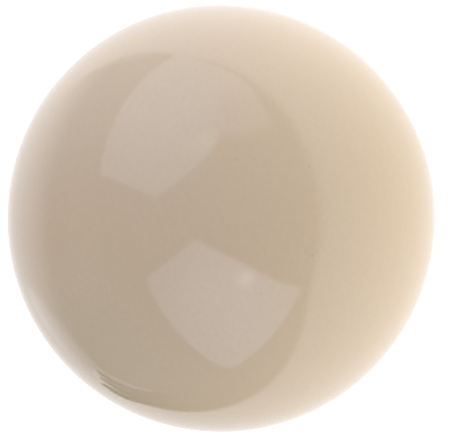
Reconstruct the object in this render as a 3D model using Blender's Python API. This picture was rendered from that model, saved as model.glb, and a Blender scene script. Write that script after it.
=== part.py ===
"""A pool cue ball: one solid sphere of cast phenolic resin, ground and polished.

Units are metres and +Z is up. The origin is the centre of the ball, so the ball rests
on a table at z = -BALL_RADIUS. A ball of this kind is cast as a single blank and has
no core, shell, insert or fastener, so the model is one solid.
"""

import bpy

INCH = 0.0254
BALL_DIAMETER = 2.25 * INCH
BALL_RADIUS = BALL_DIAMETER / 2

# Five subdivisions put every corner on the true sphere, with one on each end of the
# X, Y and Z axes, and keep the middle of each face within 0.04 mm of it.
SPHERE_SUBDIVISIONS = 5

RESIN_COLOR = (0.82, 0.66, 0.43, 1.0)
RESIN_ROUGHNESS = 0.09
RESIN_IOR = 1.5


def clear_scene():
    for obj in list(bpy.data.objects):
        bpy.data.objects.remove(obj, do_unlink=True)


def new_collection(name):
    collection = bpy.data.collections.new(name)
    bpy.context.scene.collection.children.link(collection)
    return collection


def phenolic_resin():
    """Cream cast resin with a hard, clear polish."""
    material = bpy.data.materials.new("phenolic_resin")
    material.use_nodes = True
    shader = material.node_tree.nodes["Principled BSDF"]
    shader.inputs["Base Color"].default_value = RESIN_COLOR
    shader.inputs["Roughness"].default_value = RESIN_ROUGHNESS
    shader.inputs["Metallic"].default_value = 0.0
    shader.inputs["IOR"].default_value = RESIN_IOR
    return material


def make_ball(collection):
    """The whole cue ball, a sphere about the origin."""
    bpy.ops.mesh.primitive_ico_sphere_add(
        subdivisions=SPHERE_SUBDIVISIONS, radius=BALL_RADIUS, location=(0, 0, 0)
    )
    ball = bpy.context.object
    ball.name = "cue_ball"
    ball.data.name = "cue_ball"
    ball.data.materials.append(phenolic_resin())
    ball.data.shade_smooth()
    for holder in list(ball.users_collection):
        holder.objects.unlink(ball)
    collection.objects.link(ball)
    return ball


clear_scene()
make_ball(new_collection("pool_cue_ball"))
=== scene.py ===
"""A pool cue ball: a polished sphere of cream cast resin on a white table, in a photo studio.

The studio is a white card under the ball, a white backdrop behind it, two tall softboxes
to the left and right of the camera, a dark cloth before a lit board, and a dim room. They
light the ball and show in its polish. Everything but the ball is stage.
"""

import math
import random

import bmesh
import bpy
from mathutils import Matrix, Vector


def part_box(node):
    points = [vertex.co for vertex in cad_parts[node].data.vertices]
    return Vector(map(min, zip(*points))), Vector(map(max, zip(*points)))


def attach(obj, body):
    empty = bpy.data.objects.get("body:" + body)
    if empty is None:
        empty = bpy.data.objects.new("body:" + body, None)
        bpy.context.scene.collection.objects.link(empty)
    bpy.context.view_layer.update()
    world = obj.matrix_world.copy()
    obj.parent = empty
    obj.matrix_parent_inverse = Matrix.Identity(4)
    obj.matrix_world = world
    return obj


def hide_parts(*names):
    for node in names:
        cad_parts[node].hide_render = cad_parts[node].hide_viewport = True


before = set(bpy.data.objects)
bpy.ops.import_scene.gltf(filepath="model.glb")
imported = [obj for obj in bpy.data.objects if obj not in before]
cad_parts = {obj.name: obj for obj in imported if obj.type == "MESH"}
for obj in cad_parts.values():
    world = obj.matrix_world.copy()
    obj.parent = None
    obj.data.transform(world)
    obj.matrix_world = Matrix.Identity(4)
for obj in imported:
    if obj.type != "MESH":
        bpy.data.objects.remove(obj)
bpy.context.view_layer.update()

BALL_LOW, BALL_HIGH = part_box("cue_ball")
BALL_CENTRE = (Vector(BALL_LOW) + Vector(BALL_HIGH)) / 2
BALL_RADIUS = min(Vector(BALL_HIGH) - Vector(BALL_LOW)) / 2
FLOOR_Z = BALL_LOW[2]
MM = 0.001

# ---------------------------------------------------------------- small helpers

X_AXIS = (1, 0, 0)
Y_AXIS = (0, 1, 0)


def direction(azimuth, elevation):
    """A unit vector. Azimuth 0 is the camera's side, -Y, and 90 is +X."""
    a, e = math.radians(azimuth), math.radians(elevation)
    return Vector((math.sin(a) * math.cos(e), -math.cos(a) * math.cos(e), math.sin(e)))


TO_CAMERA = direction(0, 36.67)


def smooth_falloff(x):
    """1 at 0 and 0 from 1 on, level at both ends."""
    x = min(max(x, 0.0), 1.0)
    return 1.0 - x * x * (3.0 - 2.0 * x)


def new_object(name, data):
    obj = bpy.data.objects.new(name, data)
    bpy.context.scene.collection.objects.link(obj)
    return obj


class Nodes:
    """A short way to write the node tree of a material or world."""

    def __init__(self, owner):
        owner.use_nodes = True
        self.tree = owner.node_tree
        self.tree.nodes.clear()

    def add(self, kind, inputs=None, **settings):
        node = self.tree.nodes.new(kind)
        for key, value in settings.items():
            setattr(node, key, value)
        for key, value in (inputs or {}).items():
            self.set(node.inputs[key], value)
        return node

    def set(self, socket, value):
        if isinstance(value, bpy.types.NodeSocket):
            self.tree.links.new(value, socket)
        else:
            socket.default_value = value

    def math(self, operation, a, b):
        return self.add("ShaderNodeMath", {0: a, 1: b}, operation=operation).outputs[0]

    def ramp(self, value, low, high, to_low=0.0, to_high=1.0):
        """Eases value's low to high onto to_low to to_high."""
        inputs = {
            "Value": value,
            "From Min": low,
            "From Max": high,
            "To Min": to_low,
            "To Max": to_high,
        }
        node = self.add("ShaderNodeMapRange", inputs, interpolation_type="SMOOTHSTEP")
        return node.outputs["Result"]

    def mix(self, factor, a, b, blend="MIX"):
        """Mixes two colours, which are the colour node's inputs 6 and 7."""
        inputs = {0: factor, 6: a, 7: b}
        return self.add("ShaderNodeMix", inputs, data_type="RGBA", blend_type=blend).outputs[2]

    def noise(self, vector, scale, detail=2.0, roughness=0.5):
        inputs = {
            "Vector": vector,
            "Scale": scale,
            "Detail": detail,
            "Roughness": roughness,
        }
        return self.add("ShaderNodeTexNoise", inputs).outputs["Fac"]

    def stretch(self, vector, turn, scale):
        """The vector turned by degrees about X, Y and Z, then scaled."""
        inputs = {
            "Vector": vector,
            "Rotation": [math.radians(t) for t in turn],
            "Scale": scale,
        }
        return self.add("ShaderNodeMapping", inputs).outputs["Vector"]

    def grey(self, value):
        inputs = {"Red": value, "Green": value, "Blue": value}
        return self.add("ShaderNodeCombineColor", inputs).outputs[0]

    def length(self, vector):
        node = self.add("ShaderNodeVectorMath", {0: vector}, operation="LENGTH")
        return node.outputs["Value"]

    def unit(self, vector):
        node = self.add("ShaderNodeVectorMath", {0: vector}, operation="NORMALIZE")
        return node.outputs["Vector"]

    def distance(self, vector, point):
        node = self.add("ShaderNodeVectorMath", {0: vector, 1: point}, operation="DISTANCE")
        return node.outputs["Value"]

    def dot(self, vector, axis):
        node = self.add("ShaderNodeVectorMath", {0: vector, 1: axis}, operation="DOT_PRODUCT")
        return node.outputs["Value"]


# ---------------------------------------------------------------- the ball's surface

# Each nick: azimuth and elevation on the ball in degrees, radius and depth in mm, and
# how much dirt is in it, from 0 to 1.
NICKS = (
    (9.4, 11.8, 0.24, 0.025, 0.21),
    (-13.2, 14.4, 0.29, 0.028, 0.21),
    (-23.0, 27.3, 0.26, 0.022, 0.12),
    (41.4, 34.0, 0.30, 0.016, 0.08),
    (16.3, 29.6, 0.55, 0.014, 0.06),
    (8.3, 71.6, 0.34, 0.014, 0.08),
)

# A thin scatter of others, wherever the ball doesn't face the camera.
SCATTER_COUNT = 16
SCATTER_SEED = 11
SCATTER_RADIUS = (0.2, 0.42)  # mm
SCATTER_DEPTH = (0.012, 0.032)  # mm
SCATTER_DIRT = (0.05, 0.3)
SCATTER_FACING = 0.1  # their cosine to the camera's direction is less than this

CELLS = 112  # along each of the six sides of the cube that is rounded into the ball
FINER_SPLITS = 2  # how many times the mesh is split round a nick
FINER_REACH = 1.7  # how far the finer mesh goes, in nick radii
FINER_MARGIN = 0.3  # mm beyond that


def all_nicks():
    """Every nick: its direction from the ball's centre, radius, depth and dirt."""
    nicks = [(direction(az, el), r * MM, d * MM, dirt) for az, el, r, d, dirt in NICKS]
    draw = random.Random(SCATTER_SEED)
    while len(nicks) < len(NICKS) + SCATTER_COUNT:
        where = Vector([draw.gauss(0, 1) for _ in range(3)]).normalized()
        radius = draw.uniform(*SCATTER_RADIUS)
        depth = draw.uniform(*SCATTER_DEPTH)
        dirt = draw.uniform(*SCATTER_DIRT)
        if where.dot(TO_CAMERA) < SCATTER_FACING:
            nicks.append((where, radius * MM, depth * MM, dirt))
    return nicks


def rounded_cube(cells):
    """A closed mesh of nearly even quads on the unit sphere, from a cube's six grids."""
    mesh = bmesh.new()
    corners = {}

    def corner(key):
        if key not in corners:
            spot = [math.tan((2 * k / cells - 1) * math.pi / 4) for k in key]
            corners[key] = mesh.verts.new(Vector(spot).normalized())
        return corners[key]

    steps = ((0, 0), (1, 0), (1, 1), (0, 1))
    for axis in range(3):
        for side in (0, cells):
            # The steps go round anticlockwise, seen from outside, on half of the sides.
            anticlockwise = (side == cells) != (axis == 1)
            order = steps if anticlockwise else steps[::-1]
            for i in range(cells):
                for j in range(cells):
                    ring = []
                    for di, dj in order:
                        key = [i + di, j + dj]
                        key.insert(axis, side)
                        ring.append(corner(tuple(key)))
                    mesh.faces.new(ring)
    return mesh


def refine(mesh, nicks):
    """Splits the faces round each nick, so that it has a round shape of its own."""
    for _ in range(FINER_SPLITS):
        edges = set()
        for where, radius, _depth, _dirt in nicks:
            reach = (radius * FINER_REACH + FINER_MARGIN * MM) / BALL_RADIUS
            for face in mesh.faces:
                if (face.calc_center_median() - where).length < reach:
                    edges.update(face.edges)
        bmesh.ops.subdivide_edges(mesh, edges=list(edges), cuts=1, use_grid_fill=True)


def wear(way, nicks):
    """How deep the nicks go in the direction way, and how much dirt is there."""
    depth, soiled = 0.0, 0.0
    for where, radius, deep, dirt in nicks:
        away = (way - where).length * BALL_RADIUS
        if away < radius:
            inside = smooth_falloff(away / radius)
            depth += deep * inside
            soiled = max(soiled, dirt * inside)
    return depth, soiled


def ball_mesh():
    """The ball's mesh, with its nicks, and their dirt as the value soiled."""
    nicks = all_nicks()
    mesh = rounded_cube(CELLS)
    refine(mesh, nicks)
    soiled = mesh.verts.layers.float.new("soiled")
    for vert in mesh.verts:
        way = vert.co.normalized()
        depth, vert[soiled] = wear(way, nicks)
        vert.co = BALL_CENTRE + way * (BALL_RADIUS - depth)
    for face in mesh.faces:
        face.smooth = True
    data = bpy.data.meshes.new("polished_ball")
    mesh.to_mesh(data)
    mesh.free()
    return data


# ---------------------------------------------------------------- the resin

# Scales are in noise cells per metre. A band is the stretch of a pattern's values over
# which what it drives goes from none to all.
CREAM = (0.820, 0.654, 0.422, 1.0)
CREAM_COOL = (0.812, 0.655, 0.430, 1.0)
CLOUD_SCALE = 46.0
CLOUD_DETAIL = 3.0
CLOUD_BAND = (0.36, 0.66)

CREAM_AGED = (0.804, 0.634, 0.400, 1.0)
AGEING_SCALE = 19.0
AGEING_BAND = (0.50, 0.72)
AGEING_MOST = 0.55

GRAIN_SCALE = 1500.0
GRAIN_DETAIL = 1.0
GRAIN_BAND = (0.3, 0.7)
GRAIN_SHADE = (0.988, 1.010)  # what the filler grain multiplies the colour by

INCLUSION = (0.76, 0.60, 0.39, 1.0)
INCLUSION_SCALE = 240.0
INCLUSION_EDGE = (0.02, 0.05)  # from the middle of a cell

DIRT = (0.10, 0.085, 0.07, 1.0)

RESIN_IOR = 1.5
POLISH = 0.085  # roughness
HAZE = (POLISH - 0.008, POLISH + 0.020)
HAZE_SCALE = 34.0
HAZE_DETAIL = 4.0
HAZE_ROUGHNESS = 0.6  # of the noise, not of the resin
HAZE_BAND = (0.42, 0.74)

# Each set of hairlines: how it is turned, in degrees about X, Y and Z, and its scale
# along its lines and across them.
HAIRLINES = (
    ((25, 40, 0), (30, 2600, 2600)),
    ((-50, 15, 70), (24, 2100, 2100)),
    ((80, -35, 20), (36, 3000, 3000)),
)
HAIRLINE_BAND = (0.70, 0.80)
HAIRLINE_DULLS = 0.035  # what a hairline adds to the roughness

PEEL_SCALE = 420.0
PEEL_HEIGHT = 0.35  # against a hairline's depth of 1
BUMP_STRENGTH = 0.12
BUMP_HEIGHT = 2.0e-6  # metres


def resin_colour(n, place):
    """Cream, with slow clouding, a fine filler grain, a few dark inclusions and dirt."""
    clouds = n.ramp(n.noise(place, CLOUD_SCALE, CLOUD_DETAIL), *CLOUD_BAND)
    colour = n.mix(clouds, CREAM, CREAM_COOL)
    aged = n.ramp(n.noise(place, AGEING_SCALE), *AGEING_BAND, 0.0, AGEING_MOST)
    colour = n.mix(aged, colour, CREAM_AGED)
    grain = n.ramp(n.noise(place, GRAIN_SCALE, GRAIN_DETAIL), *GRAIN_BAND, *GRAIN_SHADE)
    colour = n.mix(1.0, colour, n.grey(grain), "MULTIPLY")
    cells = n.add("ShaderNodeTexVoronoi", {"Vector": place, "Scale": INCLUSION_SCALE})
    inclusion = n.ramp(cells.outputs["Distance"], *INCLUSION_EDGE, 1.0, 0.0)
    colour = n.mix(inclusion, colour, INCLUSION)
    soiled = n.add("ShaderNodeAttribute", attribute_name="soiled").outputs["Fac"]
    return n.mix(soiled, colour, DIRT)


def polish_marks(n, place):
    """Hairlines from play and polishing, as a value from 0 to 1."""
    marks = 0.0
    for turn, scale in HAIRLINES:
        fibre = n.noise(n.stretch(place, turn, scale), 1.0, 1.0)
        marks = n.math("MAXIMUM", marks, n.ramp(fibre, *HAIRLINE_BAND))
    return marks


def resin_material():
    material = bpy.data.materials.new("polished_phenolic_resin")
    n = Nodes(material)
    place = n.add("ShaderNodeTexCoord").outputs["Object"]
    marks = polish_marks(n, place)
    fog = n.noise(place, HAZE_SCALE, HAZE_DETAIL, HAZE_ROUGHNESS)
    haze = n.ramp(fog, *HAZE_BAND, *HAZE)
    roughness = n.math("ADD", haze, n.math("MULTIPLY", marks, HAIRLINE_DULLS))
    peel = n.math("MULTIPLY", n.noise(place, PEEL_SCALE), PEEL_HEIGHT)
    relief = {
        "Strength": BUMP_STRENGTH,
        "Distance": BUMP_HEIGHT,
        "Height": n.math("SUBTRACT", peel, marks),
    }
    surface = {
        "Base Color": resin_colour(n, place),
        "Roughness": roughness,
        "IOR": RESIN_IOR,
        "Normal": n.add("ShaderNodeBump", relief).outputs["Normal"],
    }
    shader = n.add("ShaderNodeBsdfPrincipled", surface)
    n.add("ShaderNodeOutputMaterial", {"Surface": shader.outputs[0]})
    return material


def make_ball():
    ball = new_object("polished_ball", ball_mesh())
    ball.data.materials.append(resin_material())
    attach(ball, "root")
    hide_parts("cue_ball")


# ---------------------------------------------------------------- the stage's values

# Lights are red, green and blue strengths. Angles are in degrees, and a place in the
# studio is an azimuth and an elevation from the ball.

FLOOR_RADIUS = 1.3
FLOOR_SIDES = 96
FLOOR_GLOW = 1.5
# The reach of the contact shadow painted into the floor's glow.
PAINTED_CONTACT_SHADOW_REACH = 0.37  # ball radii

CARD_DROP = 0.2  # mm that the card lies below the floor
CARD_TURN = 12.7  # about Z
# The card's outline, from the ball, in ball radii: a wide sheet whose left edge steps in
# towards the back. Its light fades in over a band along the left and front edges.
CARD_OUTLINE = (
    (-7.0, -6.2),
    (40, -6.2),
    (40, 40),
    (-5.0, 40),
    (-4.3, 16.0),
    (-3.8, 11.5),
    (-4.0, 10.2),
    (-7.0, 11.6),
)
CARD_LEFT_FADE = (-6.9, -5.1)
CARD_FRONT_FADE = (-6.1, -3.6)
CARD_OPEN = (1.21, 1.19, 1.22)
# Under the ball the card's glow is painted darker and warmer: a painted contact shadow with
# warm light bounced off the ball.
CARD_UNDER_PAINTED_SHADE = (1.00, 0.93, 0.92)
CARD_UNDER_SHADE_REACH = 0.42  # ball radii
# The ball's broad shadow, painted into the card's glow, centred behind it on the card, in ball
# radii.
CARD_SHADOW = 0.20
CARD_SHADOW_SPOT = (0.9, 2.2, 0.0)
CARD_SHADOW_REACH = 2.0

ROOM_RADIUS = 1.7
ROOM_SUBDIVISIONS = 4
ROOM_DARK = (0.14, 0.07, 0.02)
# Each glow: its place, the angles from there at which it starts and is full, and its
# light. The first is the backdrop, and the last is a brighter patch on its left.
ROOM_GLOWS = (
    (172, -3, 48, 16, (1.07, 1.12, 1.24)),
    (180, 48, 34, 6, (0.13, 0.09, 0.12)),
    (-128, 38, 44, 8, (0.19, 0.32, 0.36)),
    (122, 22, 36, 8, (0.08, 0.12, 0.16)),
    (122, -30, 33, 31, (0.28, 0.43, 0.40)),
    (-158, 2, 17, 12, (0.34, 0.34, 0.41)),
)

# Each panel: the place and distance of its centre; the azimuth and elevation of the way
# that it faces; its turn about that way; and its outline, across and up in metres. A
# softbox also has the light at its rim, what its lamp adds in the middle and at a small
# hot spot, and a shaded spot if it has one. A spot is given as across, up and reach.
LEFT_BOX = {
    "centre": (-51.5, 39.0, 0.8),
    "facing": (117.0, -12.7),
    "spin": -13.7,
    "outline": (
        (-0.37, -0.48),
        (-0.33, -0.51),
        (0.33, -0.53),
        (0.325, -0.30),
        (0.355, -0.08),
        (0.355, 0.56),
        (-0.33, 0.56),
        (-0.37, 0.50),
    ),
    "rim": (0.90, 1.01, 1.23),
    "middle": (0.08, -0.08, 0.70),
    "middle_light": (0.77, 0.78, 1.08),
    "hot": (0.25, -0.135, 0.10),
    "hot_light": (1.6, 1.6, 1.9),
}
RIGHT_BOX = {
    "centre": (79.5, 32.5, 0.8),
    "facing": (-116.0, -24.1),
    "spin": 9.6,
    "outline": (
        (0.39, -0.62),
        (0.385, 0.20),
        (0.41, 0.60),
        (-0.28, 0.63),
        (-0.40, 0.41),
        (-0.46, 0.16),
        (-0.47, 0.06),
        (-0.44, -0.02),
        (-0.45, -0.12),
        (-0.55, -0.22),
        (-0.63, -0.36),
        (-0.59, -0.46),
        (-0.48, -0.49),
        (-0.33, -0.53),
        (-0.12, -0.58),
    ),
    "rim": (0.96, 1.03, 1.12),
    "middle": (-0.02, 0.03, 0.64),
    "middle_light": (0.33, 0.39, 0.66),
    "hot": (-0.39, 0.01, 0.12),
    "hot_light": (0.8, 0.8, 0.7),
    "shade": (-0.45, -0.30, 0.26),
}
SHADE_TAKES = 0.3  # the part of a softbox's light that its shade takes away
SHADE_INNER = 0.7  # the part of the shade's reach over which it is full

# A dark cloth hangs where the card's left edge steps in. It ends in three thin points, and
# its other end fades into the dim room. The lit board behind it shows between the points,
# and as a thin line along its top.
CLOTH = {
    "centre": (-148.0, 0.0, 0.36),
    "facing": (32.0, 0.0),
    "spin": 0.0,
    "outline": (
        (0.007, 0.066),
        (0.030, 0.059),
        (0.050, 0.055),
        (0.080, 0.049),
        (0.165, 0.056),
        (0.165, -0.060),
        (-0.008, -0.060),
        (-0.010, -0.023),
        (-0.021, -0.017),
        (-0.004, 0.000),
        (0.010, -0.002),
        (0.048, -0.009),
        (0.022, 0.006),
        (0.011, 0.013),
        (-0.001, 0.016),
        (0.003, 0.030),
        (0.020, 0.029),
        (0.032, 0.024),
        (0.068, 0.019),
        (0.045, 0.033),
        (0.025, 0.038),
        (0.011, 0.042),
    ),
}
CLOTH_FADE = (0.045, 0.14)
BOARD = {
    "centre": (-148.0, 0.0, 0.365),
    "facing": (32.0, 0.0),
    "spin": 0.0,
    "outline": (
        (-0.030, -0.030),
        (-0.012, 0.030),
        (0.012, 0.070),
        (0.030, 0.079),
        (0.060, 0.075),
        (0.095, 0.066),
        (0.150, 0.064),
        (0.150, -0.030),
    ),
}
BOARD_FADE = (-0.005, 0.035)
BOARD_LIGHT = (1.25, 1.22, 1.25)
BOARD_DIM = 0.32  # the part of its light that is left past the fade
BOARD_TOP = (0.045, 0.058)
BOARD_TOP_LIGHT = (0.33, 0.32, 0.33)

# A lamp for the ball's own colour only, to its right.
FILL_PLACE = (90, 10)
FILL_DISTANCE = 1.4
FILL_SIZE = 1.2
FILL_WATTS = (3.7, 4.0, 6.8)

# ---------------------------------------------------------------- the stage


def seen_by(obj, camera=False, diffuse=False, glossy=False, shadow=False):
    """Lets only the named kinds of ray see obj."""
    obj.visible_camera = camera
    obj.visible_diffuse = diffuse
    obj.visible_glossy = glossy
    obj.visible_transmission = False
    obj.visible_shadow = shadow


def flat_object(name, outline):
    """A flat sheet of one face in its own XY plane."""
    data = bpy.data.meshes.new(name)
    points = [(x, y, 0) for x, y in outline]
    data.from_pydata(points, [], [tuple(range(len(points)))])
    return new_object(name, data)


def glowing_material(name, lights, sampled=False):
    """A material that only glows: the sum of lights(n, place)'s (strength, light) pairs."""
    material = bpy.data.materials.new(name)
    n = Nodes(material)
    place = n.add("ShaderNodeTexCoord").outputs["Object"]
    total = (0.0, 0.0, 0.0, 1.0)
    for strength, light in lights(n, place):
        term = n.mix(1.0, (*light, 1.0), n.grey(strength), "MULTIPLY")
        total = n.mix(1.0, total, term, "ADD")
    glow = n.add("ShaderNodeEmission", {"Color": total})
    n.add("ShaderNodeOutputMaterial", {"Surface": glow.outputs[0]})
    material.cycles.emission_sampling = "AUTO" if sampled else "NONE"
    return material


def ball_shadow(n, distance, reach):
    """The part of the light that a ball takes away at a distance, for painted shadows: 1 at 0,
    0 far off.
    """
    away = n.math("DIVIDE", distance, reach)
    spread = n.math("ADD", n.math("MULTIPLY", away, away), 1.0)
    return n.math("POWER", spread, -1.5)


def make_floor():
    """The floor that the camera sees: white, with a tight shadow painted into its glow where
    the ball stands.
    """

    def lights(n, place):
        # A painted contact shadow: the floor's glow is taken down near the ball.
        shadow = ball_shadow(n, n.length(place), PAINTED_CONTACT_SHADOW_REACH * BALL_RADIUS)
        return [(n.math("SUBTRACT", 1.0, shadow), (FLOOR_GLOW,) * 3)]

    turns = [2 * math.pi * i / FLOOR_SIDES for i in range(FLOOR_SIDES)]
    outline = [(FLOOR_RADIUS * math.cos(t), FLOOR_RADIUS * math.sin(t)) for t in turns]
    floor = flat_object("floor", outline)
    floor.location = (BALL_CENTRE.x, BALL_CENTRE.y, FLOOR_Z)
    floor.data.materials.append(glowing_material("pale_floor", lights))
    seen_by(floor, camera=True)


def make_card():
    """The white card that lights the ball from below and shows in it, with the ball's shadows
    painted into its glow.
    """

    def lights(n, place):
        left = n.ramp(n.dot(place, X_AXIS), *[r * BALL_RADIUS for r in CARD_LEFT_FADE])
        front = n.ramp(n.dot(place, Y_AXIS), *[r * BALL_RADIUS for r in CARD_FRONT_FADE])
        # Painted shadows: darker and warmer under the ball, and dimmer behind it.
        under = ball_shadow(n, n.length(place), CARD_UNDER_SHADE_REACH * BALL_RADIUS)
        from_spot = n.distance(place, [r * BALL_RADIUS for r in CARD_SHADOW_SPOT])
        behind = ball_shadow(n, from_spot, CARD_SHADOW_REACH * BALL_RADIUS)
        left_over = n.math("SUBTRACT", 1.0, n.math("MULTIPLY", behind, CARD_SHADOW))
        shaded = n.math("MULTIPLY", n.math("MULTIPLY", left, front), left_over)
        return [(n.math("SUBTRACT", shaded, under), CARD_OPEN), (under, CARD_UNDER_PAINTED_SHADE)]

    outline = [(x * BALL_RADIUS, y * BALL_RADIUS) for x, y in CARD_OUTLINE]
    card = flat_object("white_card", outline)
    card.location = (BALL_CENTRE.x, BALL_CENTRE.y, FLOOR_Z - CARD_DROP * MM)
    card.rotation_euler.z = math.radians(CARD_TURN)
    card.data.materials.append(glowing_material("card_light", lights))
    seen_by(card, diffuse=True, glossy=True)


def make_room():
    """The dim room, with the backdrop and other soft glows in it."""

    def lights(n, place):
        way = n.unit(place)
        pairs = [(1.0, ROOM_DARK)]
        for az, el, start, full, light in ROOM_GLOWS:
            edge = [math.cos(math.radians(angle)) for angle in (start, full)]
            pairs.append((n.ramp(n.dot(way, direction(az, el)), *edge), light))
        return pairs

    data = bpy.data.meshes.new("room")
    mesh = bmesh.new()
    bmesh.ops.create_icosphere(mesh, subdivisions=ROOM_SUBDIVISIONS, radius=ROOM_RADIUS)
    mesh.to_mesh(data)
    mesh.free()
    room = new_object("room", data)
    room.location = BALL_CENTRE
    room.data.materials.append(glowing_material("room", lights))
    seen_by(room, diffuse=True, glossy=True, shadow=True)


def make_panel(name, panel):
    """A flat panel. Its own X is across and its own Y is up."""
    obj = flat_object(name, panel["outline"])
    azimuth, elevation, distance = panel["centre"]
    place = BALL_CENTRE + direction(azimuth, elevation) * distance
    facing = direction(*panel["facing"])
    side = facing.cross(Vector((0, 0, 1))).normalized()
    spin = Matrix.Rotation(math.radians(-panel["spin"]), 3, facing)
    axes = Matrix((spin @ side, spin @ side.cross(facing), -facing)).transposed()
    obj.matrix_world = Matrix.Translation(place) @ axes.to_4x4()
    return obj


def spot_on_panel(n, place, spot, inner=0.0):
    """1 in a spot's middle, over the part inner of its reach, and 0 past its reach."""
    across, up, reach = spot
    away = n.distance(place, (across, up, 0.0))
    return n.ramp(away, inner * reach, reach, 1.0, 0.0)


def make_softbox(name, box):
    """A glowing panel that lights the ball and shows in it."""

    def lights(n, place):
        lit = 1.0
        if "shade" in box:
            shade = spot_on_panel(n, place, box["shade"], SHADE_INNER)
            lit = n.math("SUBTRACT", 1.0, n.math("MULTIPLY", shade, SHADE_TAKES))
        middle = n.math("MULTIPLY", lit, spot_on_panel(n, place, box["middle"]))
        hot = spot_on_panel(n, place, box["hot"])
        return [(lit, box["rim"]), (middle, box["middle_light"]), (hot, box["hot_light"])]

    softbox = make_panel(name, box)
    softbox.data.materials.append(glowing_material(name + "_light", lights, sampled=True))
    seen_by(softbox, diffuse=True, glossy=True)


def make_cloth():
    """What shows as a dark wedge in the ball, with thin dark lines at its tip."""

    def lights(n, place):
        return [(n.ramp(n.dot(place, X_AXIS), *CLOTH_FADE), ROOM_DARK)]

    cloth = make_panel("dark_cloth", CLOTH)
    cloth.data.materials.append(glowing_material("dark_cloth", lights))
    seen_by(cloth, glossy=True)


def make_board():
    """The lit board behind the cloth."""

    def lights(n, place):
        face = n.ramp(n.dot(place, X_AXIS), *BOARD_FADE, 1.0, BOARD_DIM)
        top = n.ramp(n.dot(place, Y_AXIS), *BOARD_TOP)
        return [(face, BOARD_LIGHT), (top, BOARD_TOP_LIGHT)]

    board = make_panel("lit_board", BOARD)
    board.data.materials.append(glowing_material("lit_board", lights))
    seen_by(board, glossy=True)


def make_fill():
    """A wide soft lamp that lights the ball and shows nowhere."""
    strongest = max(FILL_WATTS)
    data = bpy.data.lights.new("fill_right", "AREA")
    data.shape = "DISK"
    data.size = FILL_SIZE
    data.energy = strongest
    data.color = [watts / strongest for watts in FILL_WATTS]
    lamp = new_object("fill_right", data)
    way = direction(*FILL_PLACE)
    lamp.location = BALL_CENTRE + way * FILL_DISTANCE
    lamp.rotation_euler = way.to_track_quat("Z", "Y").to_euler()
    lamp.visible_camera = False
    lamp.visible_glossy = False


def make_world():
    """The plain white that the camera sees past the floor."""
    world = bpy.data.worlds.new("studio")
    bpy.context.scene.world = world
    n = Nodes(world)
    sky = n.add("ShaderNodeBackground", {"Color": (1.0, 1.0, 1.0, 1.0), "Strength": 1.0})
    n.add("ShaderNodeOutputWorld", {"Surface": sky.outputs[0]})


# ---------------------------------------------------------------- the camera

CAMERA_ROLL = 99.12  # degrees
LENS = 200.0  # mm
SENSOR = 36.0  # mm
CLIP = (0.01, 10.0)
BALL_WIDTH_IN_IMAGE = 0.9508  # picture widths
SHIFT = (0.0088, 0.0032)  # picture widths


def make_camera():
    """Frames the ball. The picture is turned on its side, as the photograph's is."""
    data = bpy.data.cameras.new("camera")
    data.lens = LENS
    data.sensor_width = SENSOR
    data.shift_x, data.shift_y = SHIFT
    data.dof.use_dof = False
    data.clip_start, data.clip_end = CLIP
    half_angle = math.atan(BALL_WIDTH_IN_IMAGE / 2 * SENSOR / LENS)
    distance = BALL_RADIUS / math.sin(half_angle)
    camera = new_object("camera", data)
    camera.location = BALL_CENTRE + TO_CAMERA * distance
    level = (-TO_CAMERA).to_track_quat("-Z", "Y").to_matrix()
    roll = Matrix.Rotation(math.radians(-CAMERA_ROLL), 3, "Z")
    camera.rotation_euler = (level @ roll).to_euler()
    bpy.context.scene.camera = camera


# ---------------------------------------------------------------- the scene

make_camera()
make_ball()
make_floor()
make_card()
make_room()
make_softbox("softbox_left", LEFT_BOX)
make_softbox("softbox_right", RIGHT_BOX)
make_fill()
make_cloth()
make_board()
make_world()
bpy.context.scene.view_settings.view_transform = "Standard"
